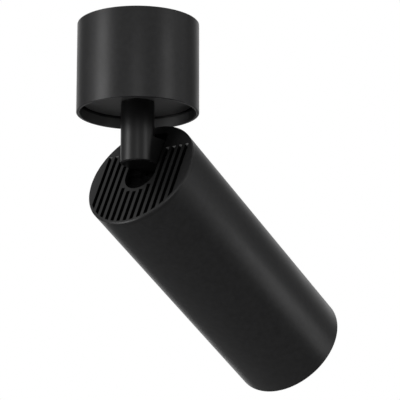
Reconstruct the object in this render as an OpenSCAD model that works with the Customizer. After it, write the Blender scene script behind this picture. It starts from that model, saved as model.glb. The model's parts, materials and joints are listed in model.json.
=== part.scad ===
// Adjustable ceiling spotlight: a round canopy under the ceiling, a swivel stem,
// and a long tube head that tilts on a hinge inside its slotted rear grille.
// Millimetres, +Z up. The origin is the centre of the ceiling face.

/* [Canopy] */
// Outer diameter of the canopy
canopy_d = 60; // [58:1:80]
// Height of the canopy, from the ceiling to its lower rim
canopy_h = 45.3; // [43:0.1:60]
// Wall of the canopy shell
canopy_wall = 1.5; // [1.2:0.1:2]
// How far the base plate sits above the lower rim
recess_depth = 5.6; // [3:0.1:7]
// Thickness of the base plate
base_plate_t = 3; // [2.6:0.1:4]
// Shadow line between the base plate and the shell
base_plate_gap = 1.2; // [0.2:0.1:1.4]
// Height of the shadow groove in the shell, just under the base plate
groove_h = 0.7; // [0.4:0.1:1.2]
// Depth of the shadow groove
groove_depth = 0.6; // [0.3:0.1:0.8]
// Width of the ledge that the base plate is bolted to
ledge_w = 6; // [5.8:0.1:6.4]
// Thickness of the ledge
ledge_t = 2.5; // [2:0.1:3]
// Number of studs that hold the base plate
stud_n = 3; // [3:1:4]
// Diameter of the studs
stud_d = 3; // [2.5:0.1:3]

/* [Ceiling bracket] */
// Thickness of the bracket sheet
bracket_t = 1.5; // [1.2:0.1:2]
// Gap between the bracket and the shell
bracket_gap = 0.7; // [0.5:0.1:1]
// Diameter of the two ceiling screw holes
bracket_hole_d = 4.5; // [3.5:0.1:5.5]
// Distance between the two ceiling screw holes
bracket_hole_span = 38; // [30:1:42]
// Diameter of the cable entry
cable_hole_d = 14; // [8:1:18]
// Width of the two side tabs
tab_w = 12; // [9:1:14]
// Length of the side tabs below the sheet
tab_l = 12.5; // [11:0.5:14]
// Drop of the side screw below the ceiling
side_screw_drop = 8; // [6:0.5:9]
// Diameter of the side screw
side_screw_d = 3; // [2.5:0.1:3.5]

/* [Swivel] */
// Diameter of the threaded spigot on top of the stem
spigot_d = 10; // [9.6:0.1:10.4]
// Distance between the two flats on the spigot
spigot_flats = 8.6; // [8:0.1:9.2]
// Bore for the wires, through the spigot and the stem
wire_bore_d = 6.4; // [4:0.1:6.6]
// Wall of the swivel bush
bush_wall = 1.4; // [1:0.1:1.6]
// Thickness of the flange under the base plate
bush_flange_t = 0.8; // [0.5:0.1:1]
// Thickness of the thrust washer
thrust_washer_t = 0.8; // [0.5:0.1:1]
// Outer diameter of the swivel washers
washer_d = 16.8; // [16:0.1:17]
// Thickness of the stop washer
stop_washer_t = 1; // [0.8:0.1:1.5]
// Width of the tab on the stop washer
stop_tab_w = 2.4; // [1.8:0.1:2.6]
// Diameter of the stop pin
stop_pin_d = 2.4; // [2:0.1:2.4]
// Thickness of the spring washer
spring_washer_t = 0.8; // [0.6:0.1:1]
// Width of the stem nut across its flats
stem_nut_af = 14; // [13.5:0.5:14.5]
// Height of the stem nut
stem_nut_h = 5; // [4:0.5:5.5]
// Thread that stands above the stem nut
spigot_end = 1.2; // [0.5:0.1:1.5]

/* [Driver and terminals] */
// Width of the driver case
driver_w = 26; // [20:1:27]
// Length of the driver case
driver_l = 38; // [30:1:40]
// Height of the driver case
driver_h = 17; // [12:1:18]
// Thickness of the driver tray
tray_t = 1.2; // [1:0.1:1.5]
// Diameter of the standoffs under the tray
standoff_d = 5; // [4.5:0.1:5.5]
// Width of the terminal block
terminal_w = 14.8; // [13:0.1:15]
// Depth of the terminal block
terminal_depth = 8; // [7:0.1:8.4]
// Diameter of the earth screw head
earth_head_d = 7; // [6:0.1:8]

/* [Stem] */
// Diameter of the stem
stem_d = 16.5; // [15.5:0.1:17.5]
// Length of the stem below the base plate
stem_drop = 30.95; // [29:0.05:45]
// Chamfer round the end of the stem
stem_chamfer = 0.6; // [0.4:0.1:1]
// Radius of the hinge lug, which is half its height
lug_r = 6.5; // [6.2:0.1:6.8]
// Diameter of the two wire channels in the lug
wire_channel_d = 2.6; // [2:0.1:2.8]

/* [Hinge] */
// Tilt of the head from straight down
tilt = 63.4; // [0:0.1:90]
// Diameter of the hinge pin
hinge_pin_d = 4; // [3.5:0.1:4.4]
// Diameter of the head of the hinge pin
hinge_head_d = 7; // [6.5:0.1:7.5]
// Height of the head of the hinge pin
hinge_head_h = 2.4; // [2:0.1:3]
// Width of the hinge nut across its flats
hinge_nut_af = 7; // [6.5:0.1:7.5]
// Height of the hinge nut
hinge_nut_h = 3.2; // [2.5:0.1:3.5]
// Thickness of the hinge ears
ear_t = 1.6; // [1.4:0.1:1.8]
// Thickness of the friction washers
friction_washer_t = 0.5; // [0.4:0.1:0.8]
// Distance that the lug sits below the grille when the head hangs straight
lug_inset = 0.5; // [0.4:0.1:0.8]

/* [Head] */
// Outer diameter of the head
head_d = 60; // [59:1:75]
// Length of the head
head_l = 146.6; // [140:0.1:200]
// Wall of the head tube
head_wall = 1.5; // [1.2:0.1:1.8]
// Width of the rear rib inside the tube
rear_rib_w = 2.5; // [2:0.1:2.8]
// Thickness of the two ribs inside the tube
rib_t = 3; // [2:0.1:4]
// Thickness of the mounting plate
mount_plate_t = 2; // [1.5:0.1:3]
// Distance from the axis to the flat side of the mounting plate, where the cooling air passes
plate_flat = 14; // [13:0.5:18]
// Diameter of the wire hole in the mounting plate
grommet_d = 10; // [8:0.5:12]

/* [Rear grille] */
// Thickness of the grille plate
grille_t = 2; // [1.6:0.1:2.2]
// Chamfer round the edge of the grille
grille_chamfer = 0.5; // [0.3:0.1:0.8]
// Clearance between the stem and the sides of its slot
slot_clear = 0.6; // [0.5:0.1:0.8]
// Free length of the slot past the hinge lug
slot_end_clear = 2.35; // [1.5:0.05:2.5]
// Corner radius at the far end of the slot
slot_corner_r = 2.5; // [1.5:0.1:3]
// Number of vent slots
vent_n = 13; // [9:2:13]
// Distance between neighbouring vent slots
vent_pitch = 3.84; // [3.6:0.02:3.9]
// Width of a vent slot
vent_w = 2.1; // [1.4:0.1:2.2]
// Height of the straight line where the long vent slots end
vent_top = 14.7; // [8:0.1:15]
// Rim left outside the vent slots
vent_rim = 1.5; // [1.4:0.1:3]
// Wall between the stem slot and the short vents
slot_wall = 1.8; // [1.4:0.1:3]
// Height of the collar that fits inside the tube
collar_h = 7; // [6:0.5:7.5]

/* [Light engine] */
// Length of the cooling fins
fin_l = 45; // [30:1:60]
// Number of cooling fins
fin_n = 18; // [8:1:24]
// Thickness of a cooling fin
fin_t = 1.6; // [1:0.1:2]
// Diameter of the solid core between the fins
core_d = 18; // [14:1:24]
// Thickness of the heat sink base
sink_base_t = 4; // [3:0.1:6]
// Thickness of the thermal pad
pad_t = 0.4; // [0.2:0.1:0.8]
// Diameter of the circuit board
board_d = 25; // [22:1:26]
// Thickness of the circuit board
board_t = 1.6; // [1:0.1:2]
// Diameter of the light-emitting surface
emitter_d = 13; // [9:1:15]
// Height of the light-emitting surface
emitter_h = 0.8; // [0.5:0.1:1]
// Outer diameter of the holder
holder_d = 38; // [36:1:40]
// Height of the holder above the heat sink
holder_h = 6; // [5:0.1:8]
// Length of the reflector
reflector_l = 27; // [20:1:32]
// Wall of the reflector
reflector_wall = 1; // [0.8:0.1:1.5]
// Width of the rim of the reflector
reflector_rim = 3.5; // [3:0.1:5]
// Thickness of the front glass
glass_t = 2; // [1.5:0.1:3]
// Width of the seal round the glass
seal_w = 1.8; // [1.2:0.1:2.5]
// Length of the anti-glare baffle
baffle_l = 16.2; // [10:0.1:25]
// Wall of the baffle at the front
baffle_lip = 1.2; // [0.8:0.1:2]
// Wall of the baffle at the glass
baffle_root = 4.2; // [3:0.1:6]
// Number of steps in the baffle
baffle_steps = 6; // [3:1:8]
// Distance from the baffle to the front edge of the tube
baffle_inset = 0.4; // [0:0.1:2]

/* [Hidden] */
$fn = 96;

// Overshoot of every cut
cut = 1;
// Clearance of a pin or spigot in its bore, on the radius
pin_fit = 0.05;
// Clearance of a plain part inside a tube, on the radius
slip_fit = 0.1;
// Free play between parts that turn against each other
play = 0.1;
// Free space kept between a moving part and what it passes
pass_gap = 0.5;
// Free space between fixed pieces that don't touch, on the radius
seat_gap = 0.3;
// Clearance of a screw or stud in its hole, on the diameter
screw_clear = 0.4;
// Metal left under a blind hole
blind_floor = 0.8;
// Thread that stands past a nut or a tapped sheet
thread_end = 0.8;
// Size of a screw's socket across its flats, and of the metal under it, as shares of the head
socket_share = 0.45;
socket_floor_share = 0.4;

// Finishes, as colours
satin_black = "#1d1d1f";
deep_black = "#121214";
zinc_grey = "#a9adb2";
bare_aluminium = "#b9bcc0";
white_plastic = "#e8e8e4";

// Canopy levels and radii
canopy_r = canopy_d / 2;
canopy_in_r = canopy_r - canopy_wall;
plate_bottom = -(canopy_h - recess_depth);
plate_top = plate_bottom + base_plate_t;
ledge_in_r = canopy_in_r - ledge_w;
stud_nut_af = 5.5;
stud_nut_h = 2.4;
stud_pos_r = canopy_in_r - seat_gap - stud_nut_af / 2 / cos(30);
stud_angles = [for (i = [0 : stud_n - 1]) 90 + i * 360 / stud_n];

// Ceiling bracket
bracket_r = canopy_in_r - bracket_gap;
tab_inset = 0.3;
tab_face = sqrt(pow(bracket_r, 2) - pow(tab_w / 2, 2)) - tab_inset;
side_head_d = 5.6;
side_head_h = 1.7;
spot_depth = 0.3;
spot_face = canopy_r - spot_depth;
hook_d = 2.4;
hook_depth = 0.6;
hook_clear = 0.2;

// Swivel, upwards from the base plate
bush_r = spigot_d / 2 + pin_fit + bush_wall;
bush_flange_r = stem_d / 2 - seat_gap;
stop_washer_z = plate_top + thrust_washer_t + play;
spring_washer_z = stop_washer_z + stop_washer_t;
stem_nut_z = spring_washer_z + spring_washer_t;
spigot_top = stem_nut_z + stem_nut_h + spigot_end;
stop_pin_pos = washer_d / 2 + seat_gap + stop_pin_d / 2;
stop_pin_end = 0.6;
stop_tab_r = stop_pin_pos + stop_pin_d / 2 + play;
spring_washer_inset = 0.6;

// Driver and terminals
tray_gap = 1.3;
tray_z = spigot_top + tray_gap;
standoff_edge = 2;
standoff_pos = ledge_in_r - standoff_d / 2 - standoff_edge;
standoff_thread = 5;
tray_bar_w = 8;
tray_end = 3.2;
tray_corner = 2;
driver_top = tray_z + tray_t;
small_screw_d = 3;
small_head_d = 5.4;
small_head_h = 1.8;
driver_screw_head_d = 4.6;
driver_screw_grip = 4;
terminal_top_gap = 0.6;
terminal_h = tray_z - plate_top - terminal_top_gap;
terminal_far = sqrt(pow(ledge_in_r, 2) - pow(terminal_w / 2, 2)) - seat_gap;
terminal_y = terminal_far - terminal_depth / 2;
terminal_poles = 3;
terminal_sink = 2.2;
earth_gap = 1.2;
earth_y = -(stop_tab_r + earth_head_d / 2 + earth_gap);
earth_lug_t = 0.8;
base_screw_l = base_plate_t - blind_floor - 0.2;

// Stem and hinge
stem_r = stem_d / 2;
stem_top = plate_bottom - bush_flange_t - play;
stem_end = plate_bottom - stem_drop;
lug_half_w = stem_r - pin_fit;
pivot_depth = lug_r + lug_inset;
pivot_x = stem_r + pass_gap + pivot_depth;
pivot_z = stem_end + lug_r;
channel_y = 3.2;
channel_z = pivot_z + hinge_pin_d / 2 + (lug_r - hinge_pin_d / 2) / 2;
friction_washer_y = lug_half_w + pin_fit;
ear_y = stem_r + slot_clear;
friction_gap = ear_y - friction_washer_y - friction_washer_t;
washer_inset = 0.2;

// Head radii and depths, measured from the outer face of the grille
head_r = head_d / 2;
head_in_r = head_r - head_wall;
rear_rib_r = head_in_r - rear_rib_w;
mount_depth = pivot_depth + lug_r + pass_gap;
slot_half_w = stem_r + slot_clear;
slot_end = pivot_x + lug_r + slot_end_clear;
slot_wall_r = slot_half_w + slot_wall;
vent_r = head_r - vent_rim;
boss_relief = 4;
vent_cut = grille_t + boss_relief;
collar_r = head_in_r - slip_fit;
collar_wall = 1.9;
boss_d = 4.8;
boss_depth = vent_cut;
boss_edge = 0.4;
boss_pos = rear_rib_r - boss_d / 2 - boss_edge;
boss_thread = 5;
boss_floor = 1;
boss_angles = [65, 115, 245, 295];
gusset_w = 3;
ear_r = pivot_depth - grille_t - seat_gap;
foot_t = 2;
foot_w = 5;
foot_l = 2 * ear_r;
foot_y = ear_y + ear_t + foot_w;
foot_far = sqrt(pow(rear_rib_r, 2) - pow(foot_y, 2)) - seat_gap;
ear_screw_y = (ear_y + ear_t + foot_y) / 2;
ear_screw_edge = 1.9;
ear_screw_offset = foot_l / 2 - ear_screw_edge;
ear_screw_d = 2.5;
ear_screw_head_d = 4;
ear_screw_head_h = 1.5;
ear_screw_clear = 0.3;

// Light engine depths, backwards from the front edge
baffle_back = head_l - baffle_inset - baffle_l;
glass_back = baffle_back - glass_t;
reflector_back = glass_back - reflector_l;
sink_front = reflector_back - holder_h;
sink_back = sink_front - sink_base_t;
sink_screw_head_h = 1.6;
front_rib_w = 4.7;
front_rib_r = head_in_r - front_rib_w;
fin_r = front_rib_r - seat_gap;
sink_screw_d = 2.5;
sink_screw_angles = [60, 180, 300];
sink_screw_head_d = 4.5;
sink_screw_pos = head_in_r - seat_gap - pin_fit - sink_screw_head_d / 2;
holder_bore_d = 16.4;
holder_seat = 3;
holder_cover_t = holder_h - holder_seat;
holder_thread = 3;
holder_grip = 2.5;
board_clear = 0.3;
holder_screw_pos = (holder_d + board_d) / 4;
reflector_throat_r = 8.5;
reflector_mouth_r = head_in_r - seat_gap - reflector_rim;
glass_r = head_in_r - seat_gap - seal_w;

// Shared shapes

// A ring that stands on z = 0
module ring(outer_r, inner_r, height) {
    difference() {
        cylinder(r = outer_r, h = height);
        translate([0, 0, -cut]) cylinder(r = inner_r, h = height + 2 * cut);
    }
}

// A hexagonal nut that stands on z = 0
module hex_nut(across_flats, height, bore_d) {
    difference() {
        rotate([0, 0, 30]) cylinder(d = across_flats / cos(30), h = height, $fn = 6);
        translate([0, 0, -cut]) cylinder(d = bore_d, h = height + 2 * cut);
    }
}

// A screw whose head stands on z = 0 and whose shank goes down
module screw(head_d, head_h, shank_d, shank_l) {
    socket_af = head_d * socket_share;
    difference() {
        union() {
            cylinder(d = head_d, h = head_h);
            translate([0, 0, -shank_l]) cylinder(d = shank_d, h = shank_l + head_h / 2);
        }
        translate([0, 0, head_h * socket_floor_share])
            cylinder(d = socket_af / cos(30), h = head_h, $fn = 6);
    }
}

// A box with round vertical corners that stands on z = 0, centred on the axis
module round_box(width, depth, height, corner) {
    translate([-width / 2 + corner, -depth / 2, 0]) cube([width - 2 * corner, depth, height]);
    translate([-width / 2, -depth / 2 + corner, 0]) cube([width, depth - 2 * corner, height]);
    for (x = [-1, 1], y = [-1, 1])
        translate([x * (width / 2 - corner), y * (depth / 2 - corner), 0])
            cylinder(r = corner, h = height, $fn = 48);
}

// The frame of the head: z = 0 is the outer face of the grille, the tube goes down,
// and +X is the side that the hinge is on
module head_frame() {
    translate([pivot_x, 0, pivot_z])
        rotate([0, -tilt, 0])
            translate([-pivot_x, 0, pivot_depth])
                children();
}

// Places its children at a depth below the outer face of the grille
module at_depth(depth) {
    translate([0, 0, -depth]) children();
}

// Canopy

module canopy_shell() {
    color(satin_black) difference() {
        union() {
            translate([0, 0, -canopy_h]) ring(canopy_r, canopy_in_r, canopy_h);
            translate([0, 0, plate_top]) ring(canopy_in_r + canopy_wall / 2, ledge_in_r, ledge_t);
        }
        translate([0, 0, plate_bottom - groove_h])
            cylinder(r = canopy_in_r + groove_depth, h = groove_h);
        for (a = stud_angles)
            rotate([0, 0, a]) translate([stud_pos_r, 0, plate_top - cut])
                cylinder(d = stud_d + screw_clear, h = ledge_t + 2 * cut);
        translate([0, 0, -side_screw_drop]) rotate([0, 90, 0]) {
            translate([0, 0, canopy_in_r - cut])
                cylinder(d = side_screw_d + screw_clear, h = canopy_wall + 2 * cut);
            translate([0, 0, spot_face]) cylinder(d = side_head_d + screw_clear / 2, h = cut);
        }
        translate([-canopy_in_r + cut, 0, -side_screw_drop]) rotate([0, -90, 0])
            cylinder(d = hook_d + screw_clear, h = hook_depth + hook_clear + cut);
    }
}

module ceiling_bracket() {
    color(zinc_grey) difference() {
        union() {
            translate([0, 0, -bracket_t]) cylinder(r = bracket_r, h = bracket_t);
            for (side = [-1, 1])
                translate([side > 0 ? tab_face - bracket_t : -tab_face, -tab_w / 2, -bracket_t - tab_l])
                    cube([bracket_t, tab_w, tab_l + bracket_t / 2]);
            translate([-tab_face + bracket_t / 2, 0, -side_screw_drop]) rotate([0, -90, 0])
                cylinder(d = hook_d, h = canopy_in_r + hook_depth - tab_face + bracket_t / 2);
        }
        translate([0, 0, -bracket_t - cut]) cylinder(d = cable_hole_d, h = bracket_t + 2 * cut);
        for (side = [-1, 1])
            translate([0, side * bracket_hole_span / 2, -bracket_t - cut])
                cylinder(d = bracket_hole_d, h = bracket_t + 2 * cut);
        translate([tab_face - bracket_t - cut, 0, -side_screw_drop]) rotate([0, 90, 0])
            cylinder(d = side_screw_d, h = bracket_t + 2 * cut);
    }
}

module side_screw() {
    color(deep_black) translate([spot_face, 0, -side_screw_drop]) rotate([0, 90, 0])
        screw(side_head_d, side_head_h, side_screw_d, spot_face - tab_face + bracket_t + thread_end);
}

module base_plate() {
    color(satin_black) difference() {
        union() {
            translate([0, 0, plate_bottom]) cylinder(r = canopy_in_r - base_plate_gap, h = base_plate_t);
            for (a = stud_angles)
                rotate([0, 0, a]) translate([stud_pos_r, 0, plate_bottom + base_plate_t / 2])
                    cylinder(d = stud_d, h = base_plate_t / 2 + ledge_t + stud_nut_h + thread_end);
        }
        translate([0, 0, plate_bottom - cut]) cylinder(r = bush_r, h = base_plate_t + 2 * cut);
        translate([-stop_pin_pos, 0, plate_bottom + blind_floor]) cylinder(d = stop_pin_d, h = base_plate_t);
        for (side = [-1, 1])
            translate([side * standoff_pos, 0, plate_bottom + blind_floor])
                cylinder(d = small_screw_d, h = base_plate_t);
        translate([0, terminal_y, plate_bottom + blind_floor]) cylinder(d = small_screw_d, h = base_plate_t);
        translate([0, earth_y, plate_bottom + blind_floor]) cylinder(d = small_screw_d, h = base_plate_t);
    }
}

module base_plate_nuts() {
    color(zinc_grey) for (a = stud_angles)
        rotate([0, 0, a]) translate([stud_pos_r, 0, plate_top + ledge_t])
            hex_nut(stud_nut_af, stud_nut_h, stud_d);
}

module swivel_bush() {
    color(deep_black) difference() {
        union() {
            translate([0, 0, plate_bottom]) cylinder(r = bush_r, h = base_plate_t);
            translate([0, 0, plate_bottom - bush_flange_t]) cylinder(r = bush_flange_r, h = bush_flange_t);
        }
        translate([0, 0, plate_bottom - bush_flange_t - cut])
            cylinder(d = spigot_d + 2 * pin_fit, h = base_plate_t + bush_flange_t + 2 * cut);
    }
}

module thrust_washer() {
    color(white_plastic) translate([0, 0, plate_top])
        ring(washer_d / 2, spigot_d / 2 + screw_clear / 2, thrust_washer_t);
}

module stop_pin() {
    color(zinc_grey) translate([-stop_pin_pos, 0, plate_bottom + blind_floor])
        cylinder(d = stop_pin_d, h = spring_washer_z + stop_pin_end - plate_bottom - blind_floor);
}

module driver_standoffs() {
    color(zinc_grey) for (side = [-1, 1])
        translate([side * standoff_pos, 0, 0]) difference() {
            union() {
                translate([0, 0, plate_top]) cylinder(d = standoff_d, h = tray_z - plate_top);
                translate([0, 0, plate_bottom + blind_floor]) cylinder(d = small_screw_d, h = base_plate_t);
            }
            translate([0, 0, tray_z - standoff_thread])
                cylinder(d = small_screw_d, h = standoff_thread + cut);
        }
}

module driver_tray() {
    color(zinc_grey) difference() {
        union() {
            translate([0, 0, tray_z]) round_box(driver_w, driver_l, tray_t, tray_corner);
            translate([0, 0, tray_z])
                round_box(2 * (standoff_pos + tray_end), tray_bar_w, tray_t, tray_corner);
        }
        for (side = [-1, 1])
            translate([side * standoff_pos, 0, tray_z - cut])
                cylinder(d = small_screw_d + screw_clear, h = tray_t + 2 * cut);
    }
}

module led_driver() {
    lid_step = 0.5;
    lid_h = 5;
    case_corner = 3;
    cable_hole = 6;
    cable_hole_depth = 3;
    color(white_plastic) difference() {
        union() {
            translate([0, 0, driver_top])
                round_box(driver_w - 2 * lid_step, driver_l - 2 * lid_step, driver_h, case_corner);
            translate([0, 0, driver_top]) round_box(driver_w, driver_l, driver_h - lid_h, case_corner);
        }
        for (side = [-1, 1])
            translate([0, side * (driver_l / 2 - cable_hole_depth), driver_top + driver_h / 3])
                rotate([-90 * side, 0, 0]) cylinder(d = cable_hole, h = cable_hole_depth + cut);
    }
}

module driver_screws() {
    color(zinc_grey) for (side = [-1, 1])
        translate([side * standoff_pos, 0, driver_top])
            screw(driver_screw_head_d, small_head_h, small_screw_d, tray_t + driver_screw_grip);
}

module terminal_block() {
    pole_pitch = terminal_w / terminal_poles;
    pole_z = plate_top + terminal_h / 2;
    clamp_d = 3;
    clamp_depth = 2;
    color(white_plastic) difference() {
        translate([-terminal_w / 2, terminal_y - terminal_depth / 2, plate_top])
            cube([terminal_w, terminal_depth, terminal_h]);
        for (i = [0 : terminal_poles - 1])
            translate([(i - (terminal_poles - 1) / 2) * pole_pitch,
                       terminal_y - terminal_depth / 2 + clamp_depth, pole_z])
                rotate([90, 0, 0]) cylinder(d = clamp_d, h = clamp_depth + cut);
        translate([0, terminal_y, plate_top - cut])
            cylinder(d = small_screw_d + screw_clear, h = terminal_h + 2 * cut);
        translate([0, terminal_y, plate_top + terminal_h - terminal_sink])
            cylinder(d = small_head_d + screw_clear, h = terminal_sink + cut);
    }
}

module terminal_screw() {
    color(zinc_grey) translate([0, terminal_y, plate_top + terminal_h - terminal_sink])
        screw(small_head_d, small_head_h, small_screw_d, terminal_h - terminal_sink + base_screw_l);
}

module earth_screw() {
    color("#b8923a") translate([0, earth_y, plate_top]) {
        ring(earth_head_d / 2, small_screw_d / 2, earth_lug_t);
        translate([0, 0, earth_lug_t])
            screw(small_head_d, small_head_h, small_screw_d, earth_lug_t + base_screw_l);
    }
}

// Stem

module stem() {
    color(satin_black) difference() {
        union() {
            difference() {
                translate([0, 0, stem_top - cut]) cylinder(d = spigot_d, h = spigot_top - stem_top + cut);
                for (side = [-1, 1])
                    translate([-spigot_d, (side * (spigot_flats + spigot_d) - spigot_d) / 2, stop_washer_z])
                        cube([2 * spigot_d, spigot_d, spigot_top - stop_washer_z + cut]);
            }
            translate([0, 0, stem_end + stem_chamfer])
                cylinder(r = stem_r, h = stem_top - stem_end - stem_chamfer);
            translate([0, 0, stem_end])
                cylinder(r1 = stem_r - stem_chamfer, r2 = stem_r, h = stem_chamfer);
            translate([0, -lug_half_w, pivot_z - lug_r]) cube([pivot_x, 2 * lug_half_w, 2 * lug_r]);
            translate([pivot_x, lug_half_w, pivot_z]) rotate([90, 0, 0])
                cylinder(r = lug_r, h = 2 * lug_half_w);
        }
        translate([0, 0, channel_z - wire_channel_d / 2])
            cylinder(d = wire_bore_d, h = spigot_top - channel_z + wire_channel_d / 2 + cut);
        for (side = [-1, 1])
            translate([0, side * channel_y, channel_z]) rotate([0, 90, 0])
                cylinder(d = wire_channel_d, h = pivot_x + lug_r + cut);
        translate([pivot_x, lug_half_w + cut, pivot_z]) rotate([90, 0, 0])
            cylinder(d = hinge_pin_d + 2 * pin_fit, h = 2 * (lug_half_w + cut));
    }
}

module stop_washer() {
    color(zinc_grey) translate([0, 0, stop_washer_z]) difference() {
        union() {
            cylinder(d = washer_d, h = stop_washer_t);
            translate([0, -stop_tab_w / 2, 0]) cube([stop_tab_r, stop_tab_w, stop_washer_t]);
        }
        translate([0, 0, -cut]) intersection() {
            cylinder(d = spigot_d + 2 * pin_fit, h = stop_washer_t + 2 * cut);
            translate([-spigot_d, -spigot_flats / 2 - pin_fit, 0])
                cube([2 * spigot_d, spigot_flats + 2 * pin_fit, stop_washer_t + 2 * cut]);
        }
    }
}

module spring_washer() {
    color(zinc_grey) translate([0, 0, spring_washer_z])
        ring(washer_d / 2 - spring_washer_inset, spigot_d / 2 + pin_fit, spring_washer_t);
}

module stem_nut() {
    color(zinc_grey) translate([0, 0, stem_nut_z]) hex_nut(stem_nut_af, stem_nut_h, spigot_d);
}

// Head

module head_tube() {
    color(satin_black) head_frame() {
        at_depth(head_l) ring(head_r, head_in_r, head_l - grille_t);
        at_depth(mount_depth) ring(head_in_r + head_wall / 2, rear_rib_r, rib_t);
        difference() {
            at_depth(sink_back) ring(head_in_r + head_wall / 2, front_rib_r, rib_t);
            sink_screw_places() at_depth(cut) cylinder(d = sink_screw_d, h = rib_t + 2 * cut);
        }
    }
}

// The vents are straight slots that one circle ends at the rim. Those beside the stem slot
// run up to the straight line, and those below it stop short of its closed end.
module vents() {
    intersection() {
        cylinder(r = vent_r, h = vent_cut + cut);
        for (i = [0 : vent_n - 1]) {
            x = (i - (vent_n - 1) / 2) * vent_pitch;
            beside = abs(x) - vent_w / 2 >= slot_half_w + slot_wall / 2;
            high = beside ? vent_top : -sqrt(max(pow(slot_wall_r, 2) - x * x, 1));
            translate([-head_r, x - vent_w / 2, 0]) cube([head_r + high, vent_w, vent_cut + cut]);
        }
    }
}

// The slot is round at its closed end, concentric with the head, and has two small corners
module stem_slot(height) {
    cylinder(r = slot_half_w, h = height);
    translate([0, -slot_half_w, 0]) cube([slot_end - slot_corner_r, 2 * slot_half_w, height]);
    translate([0, slot_corner_r - slot_half_w, 0])
        cube([slot_end, 2 * (slot_half_w - slot_corner_r), height]);
    for (side = [-1, 1])
        translate([slot_end - slot_corner_r, side * (slot_half_w - slot_corner_r), 0])
            cylinder(r = slot_corner_r, h = height, $fn = 48);
}

module boss_places() {
    for (a = boss_angles) rotate([0, 0, a]) translate([boss_pos, 0, 0]) children();
}

module rear_grille() {
    color(satin_black) head_frame() difference() {
        union() {
            at_depth(grille_t) cylinder(r = head_r, h = grille_t - grille_chamfer);
            at_depth(grille_chamfer)
                cylinder(r1 = head_r, r2 = head_r - grille_chamfer, h = grille_chamfer);
            at_depth(grille_t + collar_h) ring(collar_r, collar_r - collar_wall, collar_h + grille_t / 2);
            boss_places() {
                at_depth(mount_depth) cylinder(d = boss_d, h = mount_depth - boss_depth);
                at_depth(grille_t + collar_h) translate([0, -gusset_w / 2, 0])
                    cube([collar_r - collar_wall / 2 - boss_pos, gusset_w, grille_t + collar_h - boss_depth]);
            }
        }
        at_depth(vent_cut) vents();
        at_depth(grille_t + cut) stem_slot(grille_t + 2 * cut);
        boss_places() at_depth(mount_depth + cut)
            cylinder(d = small_screw_d, h = mount_depth - boss_depth - boss_floor + cut);
    }
}

module mount_plate() {
    color(deep_black) head_frame() difference() {
        at_depth(mount_depth + mount_plate_t) cylinder(r = head_in_r - seat_gap, h = mount_plate_t);
        at_depth(mount_depth + mount_plate_t + cut) {
            translate([-head_d - plate_flat, -head_r, 0])
                cube([head_d, head_d, mount_plate_t + 2 * cut]);
            cylinder(d = grommet_d, h = mount_plate_t + 2 * cut);
            boss_places() cylinder(d = small_screw_d + screw_clear, h = mount_plate_t + 2 * cut);
            ear_screw_places() cylinder(d = ear_screw_d + ear_screw_clear, h = mount_plate_t + 2 * cut);
        }
    }
}

module mount_plate_screws() {
    color(zinc_grey) head_frame() boss_places() at_depth(mount_depth + mount_plate_t)
        rotate([180, 0, 0]) screw(small_head_d, small_head_h, small_screw_d, mount_plate_t + boss_thread);
}

module ear_screw_places() {
    for (side = [-1, 1], step = [-1, 1])
        translate([foot_far - foot_l / 2 + step * ear_screw_offset, side * ear_screw_y, 0]) children();
}

// An ear is a bent sheet: an upright cheek with the pin hole, and a foot on the mounting plate
module hinge_ear(side) {
    color(deep_black) head_frame() difference() {
        union() {
            translate([pivot_x, side > 0 ? ear_y + ear_t : -ear_y, -pivot_depth]) rotate([90, 0, 0])
                cylinder(r = ear_r, h = ear_t);
            translate([pivot_x - ear_r, side > 0 ? ear_y : -ear_y - ear_t, -mount_depth])
                cube([2 * ear_r, ear_t, mount_depth - pivot_depth]);
            translate([foot_far - foot_l, side > 0 ? ear_y : -foot_y, -mount_depth])
                cube([foot_l, foot_y - ear_y, foot_t]);
        }
        translate([pivot_x, side * (ear_y + ear_t / 2) + ear_t, -pivot_depth]) rotate([90, 0, 0])
            cylinder(d = hinge_pin_d, h = 2 * ear_t);
        ear_screw_places() at_depth(mount_depth + cut) cylinder(d = ear_screw_d, h = foot_t + 2 * cut);
    }
}

module hinge_ear_left() {
    hinge_ear(1);
}

module hinge_ear_right() {
    hinge_ear(-1);
}

module ear_screws() {
    color(zinc_grey) head_frame() ear_screw_places() at_depth(mount_depth + mount_plate_t)
        rotate([180, 0, 0]) screw(ear_screw_head_d, ear_screw_head_h, ear_screw_d, mount_plate_t + foot_t);
}

module hinge_pin() {
    grip = 2 * (ear_y + ear_t);
    color(deep_black) head_frame() translate([pivot_x, -ear_y - ear_t, -pivot_depth])
        rotate([90, 0, 0])
            screw(hinge_head_d, hinge_head_h, hinge_pin_d, grip + hinge_nut_h + thread_end);
}

module hinge_nut() {
    color(deep_black) head_frame() translate([pivot_x, ear_y + ear_t, -pivot_depth])
        rotate([-90, 0, 0]) hex_nut(hinge_nut_af, hinge_nut_h, hinge_pin_d);
}

module friction_washers() {
    washer_t = friction_washer_t + friction_gap / 2;
    washer_r = ear_r - washer_inset;
    color(white_plastic) head_frame() for (side = [-1, 1])
        translate([pivot_x, side > 0 ? ear_y : -ear_y + washer_t, -pivot_depth]) rotate([90, 0, 0])
            ring(washer_r, hinge_pin_d / 2, washer_t);
}

module wire_grommet() {
    grommet_wall = 1.5;
    lip_t = 1;
    front = mount_depth + mount_plate_t;
    color(deep_black) head_frame() difference() {
        union() {
            at_depth(front) cylinder(d = grommet_d, h = mount_plate_t);
            at_depth(front + lip_t) cylinder(r = grommet_d / 2 + grommet_wall, h = lip_t);
        }
        at_depth(front + lip_t + cut)
            cylinder(r = grommet_d / 2 - grommet_wall, h = mount_plate_t + lip_t + 2 * cut);
    }
}

// Light engine

module sink_screw_places() {
    for (a = sink_screw_angles) rotate([0, 0, a]) translate([sink_screw_pos, 0, -sink_back]) children();
}

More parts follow.
